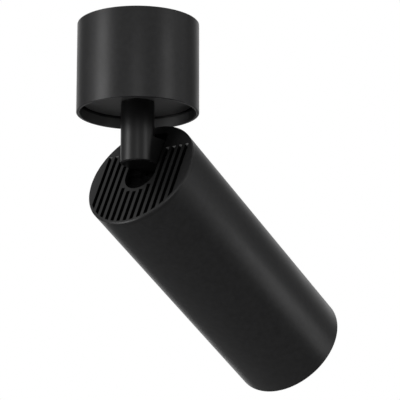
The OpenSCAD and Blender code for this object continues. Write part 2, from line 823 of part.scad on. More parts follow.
module heat_sink() {
    color(bare_aluminium) head_frame() difference() {
        union() {
            at_depth(sink_front) cylinder(r = head_in_r - seat_gap, h = sink_base_t);
            at_depth(sink_back) intersection() {
                cylinder(r = fin_r, h = fin_l);
                union() {
                    cylinder(d = core_d, h = fin_l);
                    for (i = [0 : fin_n - 1]) rotate([0, 0, i * 360 / fin_n])
                        translate([0, -fin_t / 2, 0]) cube([head_r, fin_t, fin_l]);
                }
            }
        }
        sink_screw_places() at_depth(sink_base_t + cut)
            cylinder(d = sink_screw_d + ear_screw_clear, h = sink_base_t + 2 * cut);
        holder_screw_places() at_depth(cut) cylinder(d = ear_screw_d, h = holder_thread + cut);
    }
}

module heat_sink_screws() {
    color(zinc_grey) head_frame() sink_screw_places() at_depth(sink_base_t) rotate([180, 0, 0])
        screw(sink_screw_head_d, sink_screw_head_h, sink_screw_d, sink_base_t + rib_t);
}

module thermal_pad() {
    color("#8d9aa6") head_frame() at_depth(sink_front + pad_t) cylinder(d = board_d, h = pad_t);
}

module led_board() {
    color("#d8dadc") head_frame() at_depth(sink_front + pad_t + board_t) cylinder(d = board_d, h = board_t);
}

module led_emitter() {
    color("#e6c54a") head_frame() at_depth(sink_front + pad_t + board_t + emitter_h)
        cylinder(d = emitter_d, h = emitter_h);
}

module holder_screw_places() {
    for (side = [-1, 1]) translate([0, side * holder_screw_pos, -sink_front]) children();
}

module led_holder() {
    board_pocket = pad_t + board_t;
    color(white_plastic) head_frame() difference() {
        at_depth(reflector_back) cylinder(d = holder_d, h = holder_h);
        at_depth(reflector_back + cut) cylinder(d = holder_bore_d, h = holder_h + 2 * cut);
        at_depth(sink_front + board_pocket) cylinder(r = board_d / 2 + board_clear, h = board_pocket + cut);
        holder_screw_places() at_depth(holder_h + cut) {
            cylinder(d = ear_screw_d + ear_screw_clear, h = holder_h + 2 * cut);
            cylinder(d = ear_screw_head_d + screw_clear, h = holder_cover_t + cut);
        }
    }
}

module holder_screws() {
    color(zinc_grey) head_frame() holder_screw_places() at_depth(holder_seat) rotate([180, 0, 0])
        screw(ear_screw_head_d, ear_screw_head_h, ear_screw_d, holder_seat + holder_grip);
}

module reflector() {
    rim_t = 1;
    color(bare_aluminium) head_frame() at_depth(glass_back) rotate_extrude()
        polygon([
            [reflector_throat_r, reflector_l],
            [reflector_throat_r + reflector_wall, reflector_l],
            [reflector_mouth_r + reflector_wall, rim_t],
            [reflector_mouth_r + reflector_rim, rim_t],
            [reflector_mouth_r + reflector_rim, 0],
            [reflector_mouth_r, 0]
        ]);
}

module front_glass() {
    color("#dfe8ea") head_frame() at_depth(baffle_back) cylinder(r = glass_r, h = glass_t);
}

module glass_seal() {
    color(deep_black) head_frame() at_depth(baffle_back) ring(glass_r + seal_w, glass_r, glass_t);
}

// The baffle opens towards the front in equal steps, which keeps stray light off its wall
module front_baffle() {
    outer = head_in_r - pin_fit;
    step_l = baffle_l / baffle_steps;
    step_r = (baffle_root - baffle_lip) / (baffle_steps - 1);
    color(deep_black) head_frame() at_depth(head_l - baffle_inset) difference() {
        cylinder(r = outer, h = baffle_l);
        for (i = [0 : baffle_steps - 1])
            translate([0, 0, -cut])
                cylinder(r = outer - baffle_lip - i * step_r,
                         h = (i + 1) * step_l + (i == baffle_steps - 1 ? 2 : 1) * cut);
    }
}

canopy_shell();
ceiling_bracket();
side_screw();
base_plate();
base_plate_nuts();
swivel_bush();
thrust_washer();
stop_pin();
driver_standoffs();
driver_tray();
led_driver();
driver_screws();
terminal_block();
terminal_screw();
earth_screw();
stem();
stop_washer();
spring_washer();
stem_nut();
head_tube();
rear_grille();
mount_plate();
mount_plate_screws();
hinge_ear_left();
hinge_ear_right();
ear_screws();
hinge_pin();
hinge_nut();
friction_washers();
wire_grommet();
heat_sink();
heat_sink_screws();
thermal_pad();
led_board();
led_emitter();
led_holder();
holder_screws();
reflector();
front_glass();
glass_seal();
front_baffle();
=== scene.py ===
"""Adjustable ceiling spotlight in satin black: fine shapes, finishes and studio round the fixed frame.

Sizes are in millimetres in each class and turned into metres when a mesh is placed. The head's pieces
are built in the head's own frame, where z = 0 is the outer face of the rear grille and the tube runs
down, and are then placed by the tilt of the head.
"""

from __future__ import annotations

import json
import logging
import math
from dataclasses import asdict, dataclass, field
from enum import StrEnum, auto
from functools import cached_property, partialmethod
from typing import Callable, Sequence

import bmesh
import bpy
from bpy.types import ID, Material, Mesh, MeshPolygon, Modifier, Node, NodeSocket, NodeTree, Object
from mathutils import Matrix, Vector


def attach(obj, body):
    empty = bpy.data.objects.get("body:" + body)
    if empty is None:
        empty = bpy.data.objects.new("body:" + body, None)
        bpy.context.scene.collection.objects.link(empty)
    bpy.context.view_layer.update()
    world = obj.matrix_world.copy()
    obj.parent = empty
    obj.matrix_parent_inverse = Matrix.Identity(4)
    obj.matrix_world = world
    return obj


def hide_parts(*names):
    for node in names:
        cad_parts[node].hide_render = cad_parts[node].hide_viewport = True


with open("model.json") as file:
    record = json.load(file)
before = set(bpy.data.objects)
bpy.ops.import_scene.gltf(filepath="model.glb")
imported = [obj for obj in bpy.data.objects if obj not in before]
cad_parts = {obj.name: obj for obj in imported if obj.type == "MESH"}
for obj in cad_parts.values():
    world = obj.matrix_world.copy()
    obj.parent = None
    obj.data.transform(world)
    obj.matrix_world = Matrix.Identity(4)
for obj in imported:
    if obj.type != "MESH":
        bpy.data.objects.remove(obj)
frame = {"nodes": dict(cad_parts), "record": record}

MM = 0.001
SCALE = Matrix.Scale(MM, 4)
LOG = logging.getLogger("spotlight")
Point2 = tuple[float, float]
Point3 = tuple[float, float, float]
Colour = tuple[float, float, float]


class Body(StrEnum):
    """The three bodies of the spotlight."""

    CANOPY = auto()
    STEM = auto()
    HEAD = auto()


class Slot(StrEnum):
    """The record's material slots."""

    POWDER_BLACK = auto()
    MATT_BLACK = auto()
    DARK_STEEL = auto()
    ZINC_STEEL = auto()
    RAW_ALUMINIUM = auto()
    MIRROR_ALUMINIUM = auto()
    WHITE_PLASTIC = auto()
    BLACK_PLASTIC = auto()
    PHOSPHOR = auto()
    SILICONE = auto()
    CLEAR_GLASS = auto()
    BRASS = auto()


# Node trees


class Desk:
    """Adds and joins the nodes of one tree."""

    def __init__(self, tree: NodeTree) -> None:
        """Keeps the tree that is worked on."""
        self.tree = tree

    @classmethod
    def cleared(cls, owner: ID) -> Desk:
        """Empties the tree of a material or a world.

        Args:
            owner: the material or the world.

        Returns:
            The tree's desk.
        """
        owner.use_nodes = True
        owner.node_tree.nodes.clear()
        return cls(owner.node_tree)

    def node(self, kind: str, inputs: dict | None = None, **settings: object) -> Node:
        """Adds a node.

        Args:
            kind: the node's type name.
            inputs: values, fields or lists of fields by input name or number.
            settings: properties of the node.

        Returns:
            The new node.
        """
        made = self.tree.nodes.new(kind)
        for name, value in settings.items():
            setattr(made, name, value)
        for name, value in (inputs or {}).items():
            for each in value if isinstance(value, list) else [value]:
                if isinstance(each, Field):
                    self.tree.links.new(each.socket, made.inputs[name])
                else:
                    made.inputs[name].default_value = each
        return made

    def out(self, kind: str, inputs: dict | None = None, output: int | str = 0, **settings: object) -> Field:
        """Adds a node as above and returns one of its outputs."""
        return Field(self, self.node(kind, inputs, **settings).outputs[output])


class Field:
    """A value inside a node tree, on which arithmetic adds Math nodes."""

    def __init__(self, desk: Desk, socket: NodeSocket) -> None:
        """Keeps the tree's desk and the socket that gives the value."""
        self.desk, self.socket = desk, socket

    def math(self, kind: str, *others: object) -> Field:
        """Returns the value after a Math node of that kind."""
        return self.desk.out("ShaderNodeMath", dict(enumerate((self, *others))), operation=kind)

    __add__ = partialmethod(math, "ADD")
    __sub__ = partialmethod(math, "SUBTRACT")
    __mul__ = partialmethod(math, "MULTIPLY")
    __truediv__ = partialmethod(math, "DIVIDE")


class Group(Desk):
    """A node group that is built here, with named inputs for its sizes."""

    kind = "ShaderNodeTree"
    leading: dict[str, str] = {}

    def __init__(self, name: str, **sizes: float) -> None:
        """Makes the group and its inputs.

        Args:
            name: the group's name.
            sizes: each input's default by name, where a whole number makes a whole-number input.
        """
        super().__init__(bpy.data.node_groups.new(name, self.kind))
        kinds = {key: "Int" if isinstance(value, int) else "Float" for key, value in sizes.items()}
        sockets = {key: self.socket(key, kind) for key, kind in {**self.leading, **kinds}.items()}
        for key, value in sizes.items():
            sockets[key].default_value = value
        entry = self.node("NodeGroupInput")
        self.identifiers = {key: socket.identifier for key, socket in sockets.items()}
        self.given = {key: Field(self, entry.outputs[key]) for key in sockets}
        self.sizes = [self.given[key] for key in sizes]

    def socket(self, name: str, kind: str, way: str = "INPUT") -> bpy.types.NodeTreeInterfaceSocket:
        """Returns a new input or output of the group."""
        return self.tree.interface.new_socket(name, in_out=way, socket_type="NodeSocket" + kind)

    def result(self, kind: str = "Float", **values: Field) -> NodeTree:
        """Gives the group its outputs.

        Args:
            kind: the kind of the outputs.
            values: what they give, by name.

        Returns:
            The group's tree.
        """
        for name in values:
            self.socket(name, kind, "OUTPUT")
        self.node("NodeGroupOutput", values)
        return self.tree


def marked(desk: Desk, name: str) -> Field:
    """Returns the value that a piece's attribute gives to a material."""
    return desk.out("ShaderNodeAttribute", None, "Fac", attribute_name=name, attribute_type="GEOMETRY")


class EffectGroups:
    """The shader effects that several finishes share, each built once."""

    @staticmethod
    def _noise(desk: Desk, scale: Field, detail: float, stretch: Field | None = None) -> Field:
        """Adds noise on Object coordinates.

        Args:
            desk: the group's desk.
            scale: how fine the noise is.
            detail: its finer layers.
            stretch: factors on the three axes.

        Returns:
            The noise, near 0.5.
        """
        place = desk.out("ShaderNodeTexCoord", None, "Object")
        if stretch is not None:
            place = desk.out("ShaderNodeVectorMath", {0: place, 1: stretch}, operation="MULTIPLY")
        return desk.out("ShaderNodeTexNoise", {"Vector": place, "Scale": scale, "Detail": detail}, "Fac")

    @cached_property
    def grain(self) -> NodeTree:
        """The fine orange-peel grain of a coat.

        Returns:
            The group, with a tone near the middle and a height.
        """
        group = Group("coat_grain", fineness=3000.0, blotch=60.0, broad_share=0.65)
        fineness, blotch, share = group.sizes
        fine, broad = self._noise(group, fineness, detail=2.0), self._noise(group, blotch, detail=4.0)
        return group.result(tone=(broad - fine) * share + fine, height=fine)

    @cached_property
    def rim_polish(self) -> NodeTree:
        """The polish that handling leaves on rims.

        Returns:
            The group, with a mask from the pieces' rim attribute.
        """
        group = Group("rim_polish", amount=0.5, fineness=400.0)
        amount, fineness = group.sizes
        return group.result(mask=marked(group, "rim") * amount * self._noise(group, fineness, detail=3.0))

    @cached_property
    def tool_marks(self) -> NodeTree:
        """The long fine lines of drawn or brushed metal.

        Returns:
            The group, with a tone and a height.
        """
        group = Group("tool_marks", fineness=1500.0, stretch=0.04)
        fineness, stretch = group.sizes
        squeeze = group.out("ShaderNodeCombineXYZ", {"X": stretch, "Y": 1.0, "Z": stretch})
        line = self._noise(group, fineness, detail=2.0, stretch=squeeze)
        return group.result(tone=line, height=line)

    @cached_property
    def dust(self) -> NodeTree:
        """The thin dust that settles on faces that look up.

        Returns:
            The group, with a mask.
        """
        group = Group("settled_dust", amount=0.1, fineness=900.0)
        amount, fineness = group.sizes
        normal = group.out("ShaderNodeNewGeometry", None, "Normal")
        upward = group.out("ShaderNodeClamp", {"Value": group.out("ShaderNodeSeparateXYZ", {0: normal}, "Z")})
        return group.result(mask=upward * amount * self._noise(group, fineness, detail=5.0))


EFFECTS = EffectGroups()


@dataclass(frozen=True)
class Finish:
    """A surface finish: the numbers of its shader and of the effects over it.

    The colour and the roughness run between two values each, with the tone of the coat or metal. The
    bump is a strength and a height in millimetres.
    """

    slot: Slot
    low: Colour
    high: Colour
    rough: Point2
    bump: Point2
    fineness: float
    metallic: float = 0.0
    specular: float = 0.5
    drawn: bool = False
    rim: float = 0.0
    rim_colour: Colour = (0.1, 0.1, 0.1)
    # Painted light: a lighter colour and roughness that marked faces are mixed towards, in place of light on
    # shaded faces.
    lining: Colour | None = None
    painted_light_rough: float = 0.5
    dust: float = 0.0
    dust_colour: Colour = (0.3, 0.29, 0.27)
    transmission: float = 0.0
    index: float = 1.5
    tone_span: Point2 = (0.3, 0.7)

    @cached_property
    def material(self) -> Material:
        """Builds the finish's material on first use.

        Returns:
            The material.
        """
        made = bpy.data.materials.new(self.slot.value)
        made.name = self.slot.value
        desk = Desk.cleared(made)
        group = EFFECTS.tool_marks if self.drawn else EFFECTS.grain
        texture = desk.node("ShaderNodeGroup", {"fineness": self.fineness}, node_tree=group)
        tone, height = (Field(desk, socket) for socket in texture.outputs)
        colour = self._blend(desk, tone, (*self.low, 1.0), self.high)
        effects = ((self.rim, "rim_polish", self.rim_colour), (self.dust, "dust", self.dust_colour))
        for amount, effect, over in effects:
            if amount > 0.0:
                group = getattr(EFFECTS, effect)
                mask = desk.out("ShaderNodeGroup", {"amount": amount}, node_tree=group)
                colour = self._blend(desk, mask, colour, over)
        ends = zip(("From Min", "From Max", "To Min", "To Max"), (*self.tone_span, *self.rough))
        rough = desk.out("ShaderNodeMapRange", {"Value": tone, **dict(ends)})
        # Painted light: marked faces are mixed towards the lighter colour and its roughness.
        if self.lining is not None:
            share = marked(desk, "lining")
            colour = self._blend(desk, share, colour, self.lining)
            rough = desk.out("ShaderNodeMix", {0: share, 2: rough, 3: self.painted_light_rough})
        strength, deep = self.bump
        bump = desk.out("ShaderNodeBump", {"Strength": strength, "Distance": deep * MM, "Height": height})
        shader = desk.out(
            "ShaderNodeBsdfPrincipled",
            {"Base Color": colour, "Roughness": rough, "Normal": bump, "Metallic": self.metallic,
             "Specular IOR Level": self.specular, "Transmission Weight": self.transmission,
             "IOR": self.index},
        )
        desk.node("ShaderNodeOutputMaterial", {"Surface": shader})
        return made

    @staticmethod
    def _blend(desk: Desk, share: Field, first: object, second: Colour) -> Field:
        """Returns the colour between two at a share."""
        return desk.out("ShaderNodeMix", {0: share, 6: first, 7: (*second, 1.0)}, 2, data_type="RGBA")


# The lighter grey 0.12 here is painted light, used on the recess wall, the base plate's lower face, the vent
# ends and the grille's outer face.
POWDER = Finish(Slot.POWDER_BLACK, (0.0024, 0.0024, 0.0025), (0.0036, 0.0036, 0.0037), (0.33, 0.41),
                specular=0.2, bump=(0.12, 0.012), fineness=2600.0, rim=0.5,
                rim_colour=(0.02, 0.02, 0.021), dust=0.01, lining=(0.12, 0.12, 0.12))
MATT = Finish(Slot.MATT_BLACK, (0.004, 0.004, 0.004), (0.006, 0.006, 0.006), (0.6, 0.72),
              specular=0.15, bump=(0.2, 0.01), fineness=4000.0)
DARK_STEEL = Finish(Slot.DARK_STEEL, (0.004, 0.004, 0.0042), (0.008, 0.008, 0.0083), (0.4, 0.5),
                    specular=0.06, bump=(0.15, 0.008), fineness=2000.0, drawn=True)
ZINC = Finish(Slot.ZINC_STEEL, (0.46, 0.47, 0.49), (0.62, 0.63, 0.65), (0.24, 0.38),
              metallic=1.0, bump=(0.12, 0.008), fineness=1200.0, drawn=True)
RAW = Finish(Slot.RAW_ALUMINIUM, (0.58, 0.59, 0.6), (0.74, 0.75, 0.76), (0.3, 0.45),
             metallic=1.0, bump=(0.2, 0.01), fineness=1600.0, drawn=True)
MIRROR = Finish(Slot.MIRROR_ALUMINIUM, (0.8, 0.8, 0.81), (0.9, 0.9, 0.91), (0.08, 0.14),
                metallic=1.0, bump=(0.05, 0.005), fineness=900.0)
WHITE = Finish(Slot.WHITE_PLASTIC, (0.66, 0.66, 0.63), (0.74, 0.74, 0.71), (0.42, 0.55),
               bump=(0.12, 0.01), fineness=2400.0, dust=0.05)
NYLON = Finish(Slot.BLACK_PLASTIC, (0.003, 0.003, 0.003), (0.005, 0.005, 0.005), (0.5, 0.6),
               specular=0.15, bump=(0.1, 0.01), fineness=2200.0)
PHOSPHOR = Finish(Slot.PHOSPHOR, (0.75, 0.52, 0.08), (0.86, 0.64, 0.14), (0.5, 0.6),
                  bump=(0.2, 0.01), fineness=5000.0)
SILICONE = Finish(Slot.SILICONE, (0.003, 0.003, 0.003), (0.006, 0.006, 0.006), (0.6, 0.7),
                  specular=0.15, bump=(0.15, 0.01), fineness=2500.0)
GLASS = Finish(Slot.CLEAR_GLASS, (0.95, 0.98, 0.98), (0.97, 0.99, 0.99), (0.02, 0.04),
               bump=(0.01, 0.001), fineness=300.0, transmission=1.0)
BRASS = Finish(Slot.BRASS, (0.6, 0.42, 0.16), (0.75, 0.56, 0.25), (0.25, 0.38),
               metallic=1.0, bump=(0.1, 0.006), fineness=1500.0, drawn=True)
FINISHES = {each.slot: each for each in (POWDER, MATT, DARK_STEEL, ZINC, RAW, MIRROR, WHITE, NYLON,
                                         PHOSPHOR, SILICONE, GLASS, BRASS)}


# Objects and meshes


def linked(name: str, data: ID) -> Object:
    """Makes an object in the scene.

    Args:
        name: the object's name.
        data: its mesh, camera or light.

    Returns:
        The object.
    """
    made = bpy.data.objects.new(name, data)
    bpy.context.scene.collection.objects.link(made)
    return made


def applied(holder: Object, modifier: Modifier) -> Mesh:
    """Turns what a modifier makes of an object into a mesh, and removes the modifier.

    Args:
        holder: the object.
        modifier: its only modifier.

    Returns:
        The plain mesh.
    """
    bpy.context.view_layer.update()
    graph = bpy.context.evaluated_depsgraph_get()
    result = bpy.data.meshes.new_from_object(holder.evaluated_get(graph), depsgraph=graph)
    holder.modifiers.remove(modifier)
    return result


def as_mesh(build: bmesh.types.BMesh, outward: bool = True) -> Mesh:
    """Turns a bmesh into a mesh and frees it.

    Args:
        build: the bmesh.
        outward: whether its faces are first turned outwards.

    Returns:
        The mesh.
    """
    if outward:
        bmesh.ops.recalc_face_normals(build, faces=build.faces)
    mesh = bpy.data.meshes.new("shape")
    build.to_mesh(mesh)
    build.free()
    return mesh


def points_mesh(places: Sequence[Point3]) -> Mesh:
    """Makes a mesh of single points.

    Args:
        places: where they are.

    Returns:
        The mesh.
    """
    mesh = bpy.data.meshes.new("places")
    mesh.from_pydata(places, [], [])
    return mesh


def polar(radius: float, angle: float) -> Point2:
    """Returns the point at a radius and an angle in radians."""
    return radius * math.cos(angle), radius * math.sin(angle)


def circle_places(radius: float, degrees: Sequence[float], height: float) -> list[Point3]:
    """Returns the places on a circle at some angles and one height."""
    return [(*polar(radius, math.radians(angle)), height) for angle in degrees]


def joined(mesh: Mesh, tool: Mesh, how: str) -> Mesh:
    """Joins or cuts a mesh with another.

    Args:
        mesh: the mesh that is worked on.
        tool: the mesh that is added or taken away.
        how: UNION or DIFFERENCE.

    Returns:
        The new mesh.
    """
    base, cutter = linked("base", mesh), linked("cutter", tool)
    modifier = base.modifiers.new("cut", "BOOLEAN")
    modifier.operation, modifier.solver, modifier.object = how, "MANIFOLD", cutter
    result = applied(base, modifier)
    for each in (base, cutter):
        bpy.data.objects.remove(each)
    return result


def with_painted_light(mesh: Mesh, share: Callable[[MeshPolygon], float]) -> Mesh:
    """Writes the share of painted light, a lighter colour in place of light on shaded faces, to each face of
    a mesh.

    Args:
        mesh: the mesh.
        share: gives a face's share.

    Returns:
        The same mesh.
    """
    layer = mesh.attributes.new("lining", "FLOAT", "FACE")
    for face, mark in zip(mesh.polygons, layer.data):
        mark.value = share(face)
    return mesh


ARC_STEPS = 5
NEAR_AXIS = 1e-6


def fillet(profile: Sequence[Point2], radii: dict[int, float]) -> list[tuple[Point2, bool]]:
    """Rounds chosen corners of a closed outline.

    Args:
        profile: the corners in order.
        radii: the radius at each corner's number.

    Returns:
        The new points, each with whether it lies on a rounded rim.
    """
    points = []
    for index, corner in enumerate(profile):
        here = Vector(corner)
        radius = radii.get(index, 0.0)
        if radius <= 0.0:
            points.append((tuple(here), False))
            continue
        before = (Vector(profile[index - 1]) - here).normalized()
        after = (Vector(profile[(index + 1) % len(profile)]) - here).normalized()
        half = before.angle(after) / 2
        centre = here + (before + after).normalized() * (radius / math.sin(half))
        reach = radius / math.tan(half)
        start = here + before * reach - centre
        turn = (here + after * reach - centre).angle_signed(start)
        for step in range(ARC_STEPS + 1):
            cosine, sine = polar(1.0, turn * step / ARC_STEPS)
            spun = Vector((start.x * cosine - start.y * sine, start.x * sine + start.y * cosine))
            points.append((tuple(centre + spun), True))
    return points


def turned(profile: Sequence[Point2], radii: dict[int, float], segments: int = 192) -> Mesh:
    """Turns a closed outline of (radius, height) corners about the Z axis.

    Args:
        profile: the corners, where a radius of zero lies on the axis.
        radii: the rounding at each corner's number.
        segments: the number of pieces round the axis.

    Returns:
        A closed mesh with a rim attribute on the rounded corners.
    """
    build = bmesh.new()
    layer = build.verts.layers.float.new("rim")
    rings = []
    for (radius, height), rim in fillet(profile, radii):
        if radius < NEAR_AXIS:
            ring = [build.verts.new((0.0, 0.0, height))] * segments
        else:
            ring = [build.verts.new((*polar(radius, math.tau * k / segments), height))
                    for k in range(segments)]
        for vertex in ring:
            vertex[layer] = float(rim)
        rings.append(ring)
    for ring, following in zip(rings, rings[1:] + rings[:1]):
        if ring[0] is ring[1] and following[0] is following[1]:
            continue
        for corners in zip(ring, ring[1:] + ring[:1], following[1:] + following[:1], following):
            build.faces.new(list(dict.fromkeys(corners)))
    return as_mesh(build)


def disc(radius: float, low: float, high: float, rounding: float = 0.0, segments: int = 192) -> Mesh:
    """Returns a round solid about the Z axis between two heights, with both rims rounded."""
    corners = [(0.0, low), (radius, low), (radius, high), (0.0, high)]
    return turned(corners, {1: rounding, 2: rounding}, segments)


class GeometryTree(Group):
    """A Geometry Nodes tree, which takes a mesh and its finish besides its sizes."""

    kind = "GeometryNodeTree"
    leading = {"geometry": "Geometry", "finish": "Material"}

    def place(self) -> list[Field]:
        """Returns the X, Y and Z of each point's place."""
        parts = self.node("ShaderNodeSeparateXYZ", {0: self.out("GeometryNodeInputPosition")})
        return [Field(self, socket) for socket in parts.outputs]

    def vector(self, x: object = 0.0, y: object = 0.0, z: object = 0.0) -> Field:
        """Returns a vector of three values or fields."""
        return self.out("ShaderNodeCombineXYZ", {"X": x, "Y": y, "Z": z})

    def moved(self, shape: Field, offset: Field) -> Field:
        """Returns a shape moved by a vector."""
        return self.out("GeometryNodeTransform", {"Geometry": shape, "Translation": offset})

    def block(self, size: Field, middle: Field) -> Field:
        """Returns a block of some size about a point."""
        return self.moved(self.out("GeometryNodeMeshCube", {"Size": size}), middle)

    def rod(self, radius: Field, depth: Field, middle: Field, sides: object) -> Field:
        """Returns a cylinder about the Z axis, whose middle lies at a height."""
        inputs = {"Vertices": sides, "Radius": radius, "Depth": depth}
        return self.moved(self.out("GeometryNodeMeshCylinder", inputs), self.vector(z=middle))

    def boolean(self, how: str, inputs: dict) -> Field:
        """Returns the UNION or DIFFERENCE of closed meshes."""
        return self.out("GeometryNodeMeshBoolean", inputs, operation=how, solver="MANIFOLD")

    def copies(self, points: Field, shape: Field, turn: Field) -> Field:
        """Returns instances of a shape at each point, turned."""
        inputs = {"Points": points, "Instance": shape, "Rotation": turn}
        return self.out("GeometryNodeInstanceOnPoints", inputs)

    def end(self, shape: Field) -> GeometryTree:
        """Realizes the instances, sets the finish and closes the tree.

        Args:
            shape: the finished shape.

        Returns:
            The tree.
        """
        real = self.out("GeometryNodeRealizeInstances", {"Geometry": shape})
        inputs = {"Geometry": real, "Material": self.given["finish"]}
        self.result("Geometry", geometry=self.out("GeometryNodeSetMaterial", inputs))
        return self

    def run(self, base: Mesh, finish: Finish) -> Mesh:
        """Evaluates the tree on a mesh.

        Args:
            base: the mesh that the tree starts from.
            finish: the finish of the result.

        Returns:
            A plain mesh with every instance realized.
        """
        holder = linked("holder", base)
        modifier = holder.modifiers.new("shape", "NODES")
        modifier.node_group = self.tree
        modifier[self.identifiers["finish"]] = finish.material
        result = applied(holder, modifier)
        bpy.data.objects.remove(holder)
        return result


@dataclass
class Workshop:
    """Places finished meshes as pieces."""

    bevel_from: float = 34.0
    bevel_segments: int = 2
    weld: float = 1e-6
    flat_within: float = 0.4

    def place(
        self, node: str, mesh: Mesh, matrix: Matrix, finish: Finish, body: Body,
        sharp: float = 32.0, bevel: float = 0.0,
    ) -> None:
        """Makes the piece that stands for a node.

        Args:
            node: the node that it replaces.
            mesh: its mesh, in its own frame.
            matrix: where that frame lies in the spotlight, in metres.
            finish: its finish.
            body: the body that it rides on.
            sharp: the angle in degrees from which an edge is shown sharp.
            bevel: the width of the bevel on sharp edges, in millimetres.
        """
        name = node + "_fine"
        mesh.transform(matrix)
        mesh.name = name
        piece = linked(name, mesh)
        mesh.materials.clear()
        mesh.materials.append(finish.material)
        if bevel > 0.0:
            modifier = piece.modifiers.new("bevel", "BEVEL")
            modifier.width, modifier.segments = bevel * MM, self.bevel_segments
            modifier.limit_method, modifier.angle_limit = "ANGLE", math.radians(self.bevel_from)
            modifier.use_clamp_overlap = True
            piece.data = applied(piece, modifier)
        piece.data.shade_smooth()
        piece.data.set_sharp_from_angle(angle=math.radians(sharp))
        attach(piece, body.value)
        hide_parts(node)
        LOG.info("%s rides on %s and stands for %s", name, body.value, node)

    def refine(self, body: Body, *nodes: str, bevel: float = 0.1, slot: Slot | None = None) -> None:
        """Gives the exact shapes of nodes bevelled edges and their finishes.

        Args:
            body: the body that the pieces ride on.
            nodes: the nodes that they are copied from and stand for.
            bevel: the width of the bevel in millimetres.
            slot: the slot of their finish, if that isn't the record's.
        """
        slots = {row["node"]: row["material_slot"] for row in frame["record"]["subparts"]}
        flat = math.radians(self.flat_within)
        for node in nodes:
            build = bmesh.new()
            build.from_mesh(frame["nodes"][node].data)
            bmesh.ops.remove_doubles(build, verts=build.verts, dist=self.weld)
            bmesh.ops.dissolve_limit(build, angle_limit=flat, verts=build.verts, edges=build.edges)
            mesh = as_mesh(build, outward=False)
            finish = FINISHES[slot or Slot(slots[node])]
            self.place(node, mesh, Matrix.Identity(4), finish, body, bevel=bevel)


# The spotlight


# A face looks along an axis from FACING up, and lies beside it below UPRIGHT. Cutters reach PAST a face.
FACING = 0.9
UPRIGHT = 0.5
PAST = 1.0


@dataclass
class Canopy:
    """The canopy under the ceiling, with its base plate and ceiling bracket."""

    radius: float = 30.0
    height: float = 45.3
    wall: float = 1.5
    recess: float = 5.6
    plate_t: float = 3.0
    plate_gap: float = 1.2
    groove_h: float = 0.7
    groove_depth: float = 0.6
    ledge_w: float = 6.0
    ledge_t: float = 2.5
    bush_r: float = 6.45
    rim_round: float = 0.3
    # The next two shares are painted light: the recess's inner wall and the base plate's lower face are
    # lightened in place of light they don't get.
    wall_painted_light: float = 0.2
    plate_painted_light: float = 0.27
    screw_drop: float = 8.0
    spot_depth: float = 0.3
    spot_d: float = 5.8
    screw_hole_d: float = 3.4
    drill_segments: int = 64
    nodes_kept: tuple[str, ...] = (
        "ceiling_bracket", "base_plate_nuts", "swivel_bush", "thrust_washer", "stop_pin",
        "driver_standoffs", "driver_tray", "led_driver", "driver_screws", "terminal_block",
        "terminal_screw", "earth_screw", "side_screw",
    )

    @property
    def inner(self) -> float:
        """The inner radius of the shell."""
        return self.radius - self.wall

    @property
    def plate_low(self) -> float:
        """The height of the base plate's lower face."""
        return self.recess - self.height

    def _wall_painted_light_share(self, face: MeshPolygon) -> float:
        """Returns the share of painted light on a face: some on the shaded inner wall of the recess, below
        the plate's groove.
        """
        inward = face.normal.xy.dot(face.center.xy) < 0.0 and abs(face.normal.z) < UPRIGHT
        return self.wall_painted_light if inward and face.center.z < self.plate_low - self.groove_h else 0.0

    def shell(self) -> Mesh:
        """Makes the shell.

        Returns:
            The shell with its inner ledge and softly rounded rims.
        """
        inner, plate_low, groove_low = self.inner, self.plate_low, self.plate_low - self.groove_h
        groove_r, ledge_r = inner + self.groove_depth, inner - self.ledge_w
        ledge_low = plate_low + self.plate_t
        ledge_high = ledge_low + self.ledge_t
        profile = [
            (self.radius, 0.0), (self.radius, -self.height), (inner, -self.height),
            (inner, groove_low), (groove_r, groove_low), (groove_r, plate_low), (inner, plate_low),
            (inner, ledge_low), (ledge_r, ledge_low), (ledge_r, ledge_high), (inner, ledge_high),
            (inner, 0.0),
        ]
        whole = turned(profile, dict.fromkeys((0, 1, 2, len(profile) - 1), self.rim_round))
        sideways = Matrix.Translation((0.0, 0.0, -self.screw_drop)) @ Matrix.Rotation(math.pi / 2, 4, "Y")
        for reach, bore in ((self.radius - self.spot_depth, self.spot_d), (inner - PAST, self.screw_hole_d)):
            drill = disc(bore / 2, reach, self.radius + PAST, segments=self.drill_segments)
            drill.transform(sideways)
            whole = joined(whole, drill, "DIFFERENCE")
        # Painted light on the inner wall of the recess.
        return with_painted_light(whole, self._wall_painted_light_share)

    def base_plate(self) -> Mesh:
        """Makes the plate that closes the recess.

        Returns:
            The plate with the bore for the swivel bush.
        """
        outer = self.inner - self.plate_gap
        low, high = self.plate_low, self.plate_low + self.plate_t
        plate = turned([(outer, high), (outer, low), (self.bush_r, low), (self.bush_r, high)],
                       {1: self.rim_round})
        # Painted light on the plate's lower face, inside the shaded recess.
        return with_painted_light(plate, lambda face: self.plate_painted_light if face.normal.z < -FACING else 0.0)

    def build(self, shop: Workshop) -> None:
        """Makes every piece of the canopy.

        Args:
            shop: places the pieces.
        """
        for node, mesh in (("canopy_shell", self.shell()), ("base_plate", self.base_plate())):
            shop.place(node, mesh, SCALE, POWDER, Body.CANOPY)
        shop.refine(Body.CANOPY, *self.nodes_kept)


@dataclass
class Stem:
    """The swivel stem with its hinge lug."""

    bevel: float = 0.2
    nodes_kept: tuple[str, ...] = ("stop_washer", "spring_washer", "stem_nut")

    def build(self, shop: Workshop) -> None:
        """Makes the stem and what holds it in the base plate."""
        shop.refine(Body.STEM, "stem", bevel=self.bevel)
        shop.refine(Body.STEM, *self.nodes_kept)


